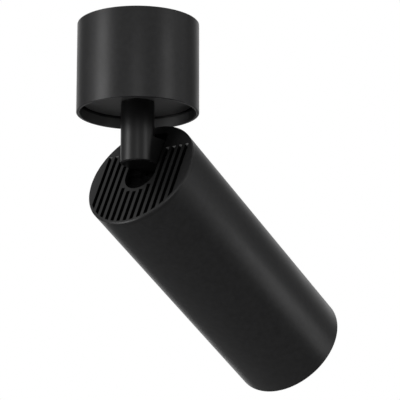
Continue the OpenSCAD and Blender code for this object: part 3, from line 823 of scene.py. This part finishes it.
@dataclass
class Grille:
    """The slotted rear plate of the head, whose vents follow the circle of the head."""

    radius: float = 30.0
    thickness: float = 2.0
    chamfer: float = 0.5
    chamfer_round: float = 0.12
    collar_r: float = 28.4
    collar_wall: float = 1.9
    collar_h: float = 7.0
    slot_half_w: float = 8.85
    slot_end: float = 24.6
    slot_corner: float = 2.5
    slot_wall: float = 1.8
    slot_steps: int = 48
    corner_steps: int = 10
    vent_count: int = 13
    vent_pitch: float = 3.84
    vent_w: float = 2.1
    vent_top: float = 14.7
    vent_r: float = 28.5
    vent_depth: float = 6.0
    boss_d: float = 4.8
    boss_bore: float = 3.0
    boss_sides: int = 48
    boss_pos: float = 23.2
    boss_end: float = 14.0
    boss_floor: float = 1.0
    gusset_w: float = 3.0
    end_reach: float = 0.1
    # Share of painted light on the grille's outward faces, a slight lightening.
    face_painted_light: float = 0.02
    boss_angles: tuple[float, ...] = (65.0, 115.0, 245.0, 295.0)

    @property
    def collar_foot(self) -> float:
        """The height of the collar's lower end."""
        return -self.thickness - self.collar_h

    def plate(self) -> Mesh:
        """Makes the plate and its collar.

        Returns:
            Both in one, without any opening.
        """
        inner, foot = self.collar_r - self.collar_wall, self.collar_foot
        profile = [
            (0.0, 0.0), (self.radius - self.chamfer, 0.0), (self.radius, -self.chamfer),
            (self.radius, -self.thickness), (self.collar_r, -self.thickness), (self.collar_r, foot),
            (inner, foot), (inner, -self.thickness), (0.0, -self.thickness),
        ]
        return turned(profile, {1: self.chamfer_round, 2: self.chamfer_round})

    def stem_slot(self) -> Mesh:
        """Makes the cutter of the stem slot.

        Returns:
            The cutter, round at its closed end, with two small corners at its far end.
        """
        quarter = math.pi / 2
        outline = [polar(self.slot_half_w, quarter + math.pi * k / self.slot_steps)
                   for k in range(self.slot_steps + 1)]
        for side, start in ((-1, -quarter), (1, 0.0)):
            for k in range(self.corner_steps + 1):
                x, y = polar(self.slot_corner, start + quarter * k / self.corner_steps)
                outline.append((self.slot_end - self.slot_corner + x,
                                side * (self.slot_half_w - self.slot_corner) + y))
        build = bmesh.new()
        floor, top = ([build.verts.new((*corner, height)) for corner in outline]
                      for height in (-self.thickness - PAST, PAST))
        for corners in (floor, top, *zip(floor, floor[1:] + floor[:1], top[1:] + top[:1], top)):
            build.faces.new(corners)
        return as_mesh(build)

    def boss_tree(self) -> GeometryTree:
        """Builds the tree of the bosses.

        Returns:
            The tree, which hangs a bored boss at each place, with a gusset out to the collar.
        """
        made = GeometryTree(
            "grille_bosses", diameter=self.boss_d, bore=self.boss_bore, top=-self.vent_depth,
            foot=-self.boss_end, floor=self.boss_floor, gusset_width=self.gusset_w,
            gusset_length=self.collar_r - self.collar_wall / 2 - self.boss_pos,
            gusset_foot=self.collar_foot,
        )
        wide, bore, top, foot, floor, width, length, gusset_foot = made.sizes
        gusset = made.block(made.vector(length, width, top - gusset_foot),
                            made.vector(length * 0.5, z=(top + gusset_foot) * 0.5))
        boss, drill = (
            made.rod(size * 0.5, high - low, (high + low) * 0.5, self.boss_sides)
            for size, high, low in ((wide, top, foot), (bore, top - floor, foot - PAST))
        )
        solid = made.boolean("UNION", {"Mesh 2": [boss, gusset]})
        bored = made.boolean("DIFFERENCE", {"Mesh 1": solid, "Mesh 2": drill})
        along, across, _ = made.place()
        outward = made.vector(z=across.math("ARCTAN2", along))
        return made.end(made.copies(made.given["geometry"], bored, outward))

    def vent_tree(self) -> GeometryTree:
        """Builds the tree of the vents.

        Every vent is a straight slot whose lower end follows the circle that leaves the rim whole. The
        vents beside the stem slot end on a straight line, and those below it stop at the wall round the
        slot's closed end.

        Returns:
            The tree, which lays the vents over the plate and cuts them out.
        """
        made = GeometryTree(
            "grille_vents", count=self.vent_count, pitch=self.vent_pitch, width=self.vent_w,
            rim_radius=self.vent_r, straight_end=self.vent_top, slot_half_width=self.slot_half_w,
            slot_wall=self.slot_wall, depth=self.vent_depth,
        )
        count, pitch, width, rim, straight, slot, wall, depth = made.sizes
        first = made.vector(y=(count - 1.0) * pitch * -0.5)
        spread = {"Count": count, "Start Location": first, "Offset": made.vector(y=pitch)}
        row = made.out("GeometryNodeMeshLine", spread, mode="OFFSET")
        along, across, upright = made.place()
        kept = made.out("GeometryNodeStoreNamedAttribute", {"Geometry": row, "Name": "row", "Value": across},
                        data_type="FLOAT", domain="POINT")
        tool = made.block(made.vector(1.0, width, depth + PAST), made.vector(z=(depth - PAST) * -0.5))
        real = made.out("GeometryNodeRealizeInstances", {"Geometry": made.copies(kept, tool, made.vector())})
        axis = made.out("GeometryNodeInputNamedAttribute", {"Name": "row"}, "Attribute", data_type="FLOAT")
        low = (rim * rim - across * across).math("SQRT") * -1.0
        reach = slot + wall
        under_slot = (reach * reach - axis * axis).math("MAXIMUM", 1.0).math("SQRT") * -1.0
        beside = (axis.math("ABSOLUTE") - width * 0.5).math("GREATER_THAN", slot + wall * 0.5)
        high = under_slot + beside * (straight - under_slot)
        upper = along.math("GREATER_THAN", 0.0)
        spot = made.vector(low + upper * (high - low), across, upright)
        tools = made.out("GeometryNodeSetPosition", {"Geometry": real, "Position": spot})
        return made.end(made.boolean("DIFFERENCE", {"Mesh 1": made.given["geometry"], "Mesh 2": tools}))

    def _painted_highlight_share(self, face: MeshPolygon) -> float:
        """Returns the share of painted light on a face: a full painted highlight on the upper end walls of
        the long vents, and a slight painted lightening of faces that look out.
        """
        at_end = face.normal.x < -FACING and abs(face.center.x - self.vent_top) < self.end_reach
        return 1.0 if at_end else self.face_painted_light * (face.normal.z > FACING)

    def mesh(self) -> Mesh:
        """Makes the grille.

        Returns:
            The grille with its bosses, and its stem slot and vents cut out.
        """
        places = circle_places(self.boss_pos, self.boss_angles, 0.0)
        bosses = self.boss_tree().run(points_mesh(places), POWDER)
        plate = joined(joined(self.plate(), bosses, "UNION"), self.stem_slot(), "DIFFERENCE")
        # Painted highlight on the vents' upper end walls, and slight painted light on the outward faces.
        return with_painted_light(self.vent_tree().run(plate, POWDER), self._painted_highlight_share)


@dataclass
class ScrewRow:
    """Equal screws with hexagon sockets, whose heads stand on their places and look down.

    The socket and the part of the shank inside the head are shares of the head's width and height.
    """

    head_d: float
    head_h: float
    shank_d: float
    shank_l: float
    socket_share: float = 0.26
    socket_middle: float = 0.9
    sunk_share: float = 0.3
    turn: float = math.pi
    sides: int = 48
    socket_sides: int = 6

    def mesh(self, places: Sequence[Point3]) -> Mesh:
        """Makes the screws with a tree that builds one and sets it at each place.

        Args:
            places: where the heads stand.

        Returns:
            The mesh of all of them.
        """
        made = GeometryTree("screw_row", **asdict(self))
        head_d, head_h, shank_d, shank_l, share, middle, sunk_share, turn, sides, socket_sides = made.sizes
        sunk = head_h * sunk_share
        head = made.rod(head_d * 0.5, head_h, head_h * 0.5, sides)
        socket = made.rod(head_d * share, head_h, head_h * middle, socket_sides)
        shank = made.rod(shank_d * 0.5, shank_l + sunk, (shank_l - sunk) * -0.5, sides)
        cut = made.boolean("DIFFERENCE", {"Mesh 1": head, "Mesh 2": socket})
        whole = made.out("GeometryNodeJoinGeometry", {"Geometry": [cut, shank]})
        tree = made.end(made.copies(made.given["geometry"], whole, made.vector(turn)))
        return tree.run(points_mesh(places), ZINC)


@dataclass
class LightEngine:
    """The heat sink, the light source, the reflector and the glass inside the head."""

    sink_back: float = 91.0
    sink_front: float = 95.0
    sink_r: float = 28.2
    sink_segments: int = 96
    sink_round: float = 0.3
    core_round: float = 0.4
    fin_r: float = 23.5
    fin_l: float = 45.0
    fin_t: float = 1.6
    fin_n: int = 18
    fin_root: float = 0.8
    core_d: float = 18.0
    glass_back: float = 128.0
    glass_t: float = 2.0
    glass_r: float = 26.4
    glass_round: float = 0.25
    throat_r: float = 8.5
    mouth_r: float = 24.7
    reflector_l: float = 27.0
    reflector_wall: float = 1.0
    reflector_rim: float = 3.5
    rim_t: float = 1.0
    swell: float = 0.72
    dimple: float = 0.16
    facets: int = 36
    rings: int = 9
    points_per_facet: float = 6.0
    weld: float = 0.005

    def fin_tree(self) -> GeometryTree:
        """Builds the tree of the cooling fins.

        Returns:
            The tree, which stands equal fins round the core.
        """
        made = GeometryTree(
            "cooling_fins", core_radius=self.core_d / 2, tip_radius=self.fin_r, thickness=self.fin_t,
            length=self.fin_l, root_share=self.fin_root, count=self.fin_n,
        )
        core, tip, thick, length, root_share, count = made.sizes
        root = core * root_share
        fin = made.block(made.vector(tip - root, thick, length),
                         made.vector((tip + root) * 0.5, z=length * 0.5))
        row = made.out("GeometryNodeMeshLine", {"Count": count, "Offset": (0, 0, 0)})
        turn = made.out("GeometryNodeInputIndex") * math.tau / count
        fins = made.copies(row, fin, made.vector(z=turn))
        parts = {"Geometry": [fins, made.given["geometry"]]}
        return made.end(made.out("GeometryNodeJoinGeometry", parts))

    def sink(self) -> Mesh:
        """Makes the heat sink.

        Returns:
            A base, a round core and its fins, standing on z = 0.
        """
        base_low, core_r = self.sink_back - self.sink_front, self.core_d / 2
        outline = [(0.0, 0.0), (0.0, base_low), (self.sink_r, base_low), (self.sink_r, 0.0),
                   (core_r, 0.0), (core_r, self.fin_l), (0.0, self.fin_l)]
        rounds = {2: self.sink_round, 3: self.sink_round, 5: self.core_round}
        core = turned(outline, rounds, self.sink_segments)
        return self.fin_tree().run(core, RAW)

    def bowl_tree(self) -> GeometryTree:
        """Builds the tree of the reflector's bowl.

        Returns:
            The tree, which bends a grid into the faceted bowl.
        """
        made = GeometryTree(
            "reflector_bowl", throat_radius=self.throat_r, mouth_radius=self.mouth_r,
            length=self.reflector_l, swell=self.swell, dimple=self.dimple, weld=self.weld,
            facets=self.facets, rings=self.rings,
        )
        throat, mouth, length, swell, dimple, weld, facets, rings = made.sizes
        around, along = (number * self.points_per_facet + 1.0 for number in (facets, rings))
        grid = made.out("GeometryNodeMeshGrid",
                        {"Size X": 1.0, "Size Y": 1.0, "Vertices X": around, "Vertices Y": along})
        x, y, _ = made.place()
        turn, rise = x + 0.5, y + 0.5
        waves = [(way * number * math.tau * 0.5).math("SINE").math("ABSOLUTE")
                 for way, number in ((turn, facets), (rise, rings))]
        radius = throat + rise.math("POWER", swell) * (mouth - throat) + waves[0] * waves[1] * dimple
        angle = turn * math.tau
        spot = made.vector(radius * angle.math("COSINE"), radius * angle.math("SINE"),
                           length * (rise * -1.0 + 1.0))
        bent = made.out("GeometryNodeSetPosition", {"Geometry": grid, "Position": spot})
        return made.end(made.out("GeometryNodeMergeByDistance", {"Geometry": bent, "Distance": weld}))

    def reflector(self) -> Mesh:
        """Makes the reflector.

        Returns:
            A closed shell with a flat rim at its mouth.
        """
        build = bmesh.new()
        build.from_mesh(self.bowl_tree().run(points_mesh([]), MIRROR))
        bmesh.ops.remove_doubles(build, verts=build.verts, dist=self.weld)
        ends = sorted((e for e in build.edges if e.is_boundary), key=lambda e: e.verts[0].co.z)
        mouth = [e for e in ends if e.verts[0].co.z < self.reflector_l / 2]
        throat = [e for e in ends if e.verts[0].co.z > self.reflector_l / 2]

        def ring_out(edges: list, radius: float, height: float) -> list:
            """Extrudes a ring of edges.

            Args:
                edges: the ring.
                radius: the radius of the new ring.
                height: its height.

            Returns:
                The new ring's edges.
            """
            new = bmesh.ops.extrude_edge_only(build, edges=edges)["geom"]
            for vertex in (v for v in new if isinstance(v, bmesh.types.BMVert)):
                flat = Vector((vertex.co.x, vertex.co.y)).normalized() * radius
                vertex.co = (flat.x, flat.y, height)
            return [e for e in new if isinstance(e, bmesh.types.BMEdge)]

        rim_r, wall_r = self.mouth_r + self.reflector_rim, self.mouth_r + self.reflector_wall
        rim = mouth
        for radius, height in ((rim_r, 0.0), (rim_r, self.rim_t), (wall_r, self.rim_t)):
            rim = ring_out(rim, radius, height)
        back = ring_out(throat, self.throat_r + self.reflector_wall, self.reflector_l)
        bmesh.ops.bridge_loops(build, edges=rim + back)
        return as_mesh(build)

    def glass(self) -> Mesh:
        """Returns the front glass, standing on z = 0."""
        return disc(self.glass_r, 0.0, self.glass_t, self.glass_round)


@dataclass
class Head:
    """The tilting head: tube, grille, hinge, light engine and front end."""

    pivot: Point3 = (15.75, 0.0, -64.15)
    pivot_depth: float = 7.0
    tilt: float = 63.4
    radius: float = 30.0
    wall: float = 1.5
    length: float = 146.6
    tube_rounds: Point3 = (0.1, 0.35, 0.2)
    tube_segments: int = 256
    rear_rib: Point3 = (11.0, 14.0, 26.0)
    front_rib: Point3 = (88.0, 91.0, 23.8)
    baffle_l: float = 16.2
    baffle_gap: float = 0.05
    baffle_inset: float = 0.4
    baffle_lip: float = 1.2
    baffle_root: float = 4.2
    baffle_steps: int = 6
    baffle_round: float = 0.2
    step_round: float = 0.12
    plate_front: float = 16.0
    grille_sharp: float = 28.0
    bowl_sharp: float = 40.0
    sink_screw_pos: float = 25.9
    sink_screw_angles: Point3 = (60.0, 180.0, 300.0)
    plate_screw: ScrewRow = field(default_factory=lambda: ScrewRow(5.4, 1.8, 3.0, 7.0))
    sink_screw: ScrewRow = field(default_factory=lambda: ScrewRow(4.5, 1.6, 2.5, 7.0))
    grille: Grille = field(default_factory=Grille)
    engine: LightEngine = field(default_factory=LightEngine)
    nodes_kept: tuple[str, ...] = (
        "mount_plate", "hinge_ear_left", "hinge_ear_right", "hinge_pin", "hinge_nut",
        "friction_washers", "wire_grommet", "thermal_pad", "led_board", "led_emitter",
        "led_holder", "holder_screws", "glass_seal",
    )

    def at(self, depth: float) -> Matrix:
        """Returns the place of the head's own frame, moved to a depth below the grille's outer face."""
        hinge = SCALE @ Matrix.Translation(self.pivot) @ Matrix.Rotation(math.radians(-self.tilt), 4, "Y")
        return hinge @ Matrix.Translation((-self.pivot[0], 0.0, self.pivot_depth - depth))

    def tube(self) -> Mesh:
        """Makes the tube.

        Returns:
            The tube with its two inner ribs and rounded front rim.
        """
        inner = self.radius - self.wall
        profile = [(self.radius, -self.grille.thickness), (self.radius, -self.length), (inner, -self.length)]
        for near, far, rib_r in (self.front_rib, self.rear_rib):
            profile += [(inner, -far), (rib_r, -far), (rib_r, -near), (inner, -near)]
        profile.append((inner, -self.grille.thickness))
        return turned(profile, dict(enumerate(self.tube_rounds)), self.tube_segments)

    def baffle(self) -> Mesh:
        """Makes the anti-glare baffle.

        Returns:
            The baffle, whose wall steps in towards the glass.
        """
        outer = self.radius - self.wall - self.baffle_gap
        step_l = self.baffle_l / self.baffle_steps
        step_r = (self.baffle_root - self.baffle_lip) / (self.baffle_steps - 1)
        profile = [(outer, 0.0)]
        for k in range(self.baffle_steps):
            bore = outer - self.baffle_lip - k * step_r
            profile += [(bore, k * step_l), (bore, (k + 1) * step_l)]
        profile.append((outer, self.baffle_l))
        rims = dict.fromkeys((0, 1), self.baffle_round)
        rims |= dict.fromkeys(range(3, 2 * self.baffle_steps, 2), self.step_round)
        return turned(profile, rims)

    def build(self, shop: Workshop) -> None:
        """Makes every piece of the head.

        Args:
            shop: places the pieces.
        """
        engine = self.engine
        bosses = circle_places(self.grille.boss_pos, self.grille.boss_angles, -self.plate_front)
        ring = circle_places(self.sink_screw_pos, self.sink_screw_angles, -engine.sink_front)
        rows = (
            ("head_tube", self.tube(), 0.0, POWDER),
            ("rear_grille", self.grille.mesh(), 0.0, POWDER, self.grille_sharp),
            ("front_baffle", self.baffle(), self.length - self.baffle_inset, MATT),
            ("heat_sink", engine.sink(), engine.sink_back, RAW),
            ("reflector", engine.reflector(), engine.glass_back, MIRROR, self.bowl_sharp),
            ("front_glass", engine.glass(), engine.glass_back + engine.glass_t, GLASS),
            ("mount_plate_screws", self.plate_screw.mesh(bosses), 0.0, ZINC),
            ("heat_sink_screws", self.sink_screw.mesh(ring), 0.0, ZINC),
        )
        for node, mesh, depth, finish, *sharp in rows:
            shop.place(node, mesh, self.at(depth), finish, Body.HEAD, *sharp)
        shop.refine(Body.HEAD, *self.nodes_kept)
        shop.refine(Body.HEAD, "ear_screws", slot=Slot.DARK_STEEL)


# The studio


@dataclass(frozen=True)
class Softbox:
    """A soft light, placed by its angle from the camera towards the right and its height."""

    name: str
    angle: float
    elevation: float
    width: float
    height: float
    power: float


@dataclass
class Studio:
    """The camera, the pale floor, the white surround and the soft lights, in metres."""

    eye: Point3 = (-0.78774, -0.58829, -0.32311)
    right: Vector = field(default_factory=lambda: Vector((0.57333, -0.81933, 0.0)))
    up: Vector = field(default_factory=lambda: Vector((-0.19016, -0.13306, 0.97270)))
    lens: float = 188.31
    sensor: float = 36.0
    clip: Point2 = (0.05, 20.0)
    aim: Point3 = (0.04, 0.0, -0.085)
    distance: float = 1.6
    white: Colour = (1.0, 1.0, 1.0)
    floor_half: float = 6.0
    floor_z: float = -1.3
    floor_colour: Colour = (0.6, 0.6, 0.6)
    floor_glow: float = 0.82
    floor_mirror_glow: float = 0.05
    floor_bounce: float = 0.6
    fill: float = 0.25
    flag_shade: float = 0.75
    flags: tuple[Point2, Point2] = ((0.1, 0.35), (0.65, 0.9))
    boxes: tuple[Softbox, ...] = (
        Softbox("left_key_low", -69.0, -12.0, 0.8, 0.6, 13.5),
        Softbox("left_key_high", -66.0, 14.0, 0.6, 0.8, 10.0),
        Softbox("front_fill", 0.0, 0.0, 0.4, 1.2, 3.6),
        Softbox("right_fill", 56.0, 2.0, 0.5, 1.4, 7.4),
        Softbox("right_rim", 100.0, -12.0, 0.5, 0.6, 2.4),
    )

    @property
    def toward(self) -> Vector:
        """The level direction from the camera to the spotlight."""
        back = self.right.cross(self.up)
        return Vector((-back.x, -back.y, 0.0)).normalized()

    def camera(self) -> None:
        """Makes the camera at the photograph's viewing angle."""
        data = bpy.data.cameras.new("photo_camera")
        data.lens, data.sensor_width = self.lens, self.sensor
        data.clip_start, data.clip_end = self.clip
        camera = linked("photo_camera", data)
        turn = Matrix((self.right, self.up, self.right.cross(self.up))).transposed().to_4x4()
        camera.matrix_world = Matrix.Translation(self.eye) @ turn
        bpy.context.scene.camera = camera

    @staticmethod
    def rays(desk: Desk) -> tuple[Field, Field, Field]:
        """Tells kinds of rays apart.

        Args:
            desk: the material's or world's desk.

        Returns:
            Whether a ray is seen straight or through glass, mirrored, or scattered.
        """
        kinds = desk.node("ShaderNodeLightPath").outputs
        straight, glassy, mirrored, scattered = (
            Field(desk, kinds[f"Is {kind} Ray"]) for kind in ("Camera", "Transmission", "Glossy", "Diffuse")
        )
        return straight.math("MAXIMUM", glassy), mirrored, scattered

    def light(self, desk: Desk, kind: str, strength: object) -> Field:
        """Returns a white background or emission of some strength."""
        return desk.out(kind, {"Color": (*self.white, 1.0), "Strength": strength})

    def floor(self) -> None:
        """Makes the floor far below the spotlight: pale where it is seen, with its shadow kept."""
        build = bmesh.new()
        low = Matrix.Translation((0.0, 0.0, self.floor_z))
        bmesh.ops.create_grid(build, x_segments=1, y_segments=1, size=self.floor_half, matrix=low)
        mesh = as_mesh(build, outward=False)
        floor = linked("floor", mesh)
        paint = bpy.data.materials.new("pale_floor")
        desk = Desk.cleared(paint)
        seen, mirrored, scattered = self.rays(desk)
        unseen = (mirrored * self.floor_mirror_glow).math("MAXIMUM", scattered * self.floor_bounce)
        strength = (seen * self.floor_glow).math("MAXIMUM", unseen)
        matt = desk.out("ShaderNodeBsdfDiffuse", {"Color": (*self.floor_colour, 1.0)})
        both = desk.out("ShaderNodeAddShader", {0: matt, 1: self.light(desk, "ShaderNodeEmission", strength)})
        desk.node("ShaderNodeOutputMaterial", {"Surface": both})
        mesh.materials.append(paint)

    def surround(self) -> None:
        """Makes the world: white where it is seen, directly or mirrored, and a dimmer fill elsewhere.

        In reflections two bands are darker, beside and behind the spotlight, like the flags that a
        studio sets up so that a black object keeps its edges.
        """
        world = bpy.data.worlds.new("white_surround")
        bpy.context.scene.world = world
        desk = Desk.cleared(world)
        seen, mirrored, _ = self.rays(desk)
        way = desk.out("ShaderNodeTexCoord", None, "Generated")
        behind = desk.out("ShaderNodeVectorMath", {0: way, 1: self.toward}, "Value", operation="DOT_PRODUCT")
        rise, fall = (
            desk.out("ShaderNodeMapRange",
                     {"Value": behind, "From Min": start, "From Max": end, "To Max": self.flag_shade},
                     interpolation_type="SMOOTHSTEP")
            for start, end in self.flags
        )
        flagged = (rise - fall) * -1.0 + 1.0
        room, bands, white = (
            self.light(desk, "ShaderNodeBackground", strength) for strength in (self.fill, flagged, 1.0)
        )
        unseen = desk.out("ShaderNodeMixShader", {0: mirrored, 1: room, 2: bands})
        mix = desk.out("ShaderNodeMixShader", {0: seen, 1: unseen, 2: white})
        desk.node("ShaderNodeOutputWorld", {"Surface": mix})

    def lights(self) -> None:
        """Makes the soft lights, which are seen only in reflections."""
        for box in self.boxes:
            turn, rise = math.radians(box.angle), math.radians(box.elevation)
            way = self.right * math.sin(turn) - self.toward * math.cos(turn)
            away = way * math.cos(rise) + Vector((0.0, 0.0, math.sin(rise)))
            data = bpy.data.lights.new(box.name, "AREA")
            data.shape = "RECTANGLE"
            data.size, data.size_y, data.energy = box.width, box.height, box.power
            lamp = linked(box.name, data)
            facing = away.to_track_quat("Z", "Y").to_matrix().to_4x4()
            lamp.matrix_world = Matrix.Translation(Vector(self.aim) + away * self.distance) @ facing
            lamp.visible_camera = False

    def build(self) -> None:
        """Sets up the whole studio."""
        self.camera()
        self.floor()
        self.surround()
        self.lights()
        bpy.context.scene.view_settings.view_transform = "Standard"


def main() -> None:
    logging.basicConfig(level=logging.INFO, format="%(name)s: %(message)s")
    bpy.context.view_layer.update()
    shop = Workshop()
    Studio().build()
    for assembly in (Canopy(), Stem(), Head()):
        assembly.build(shop)


if __name__ == "__main__":
    main()
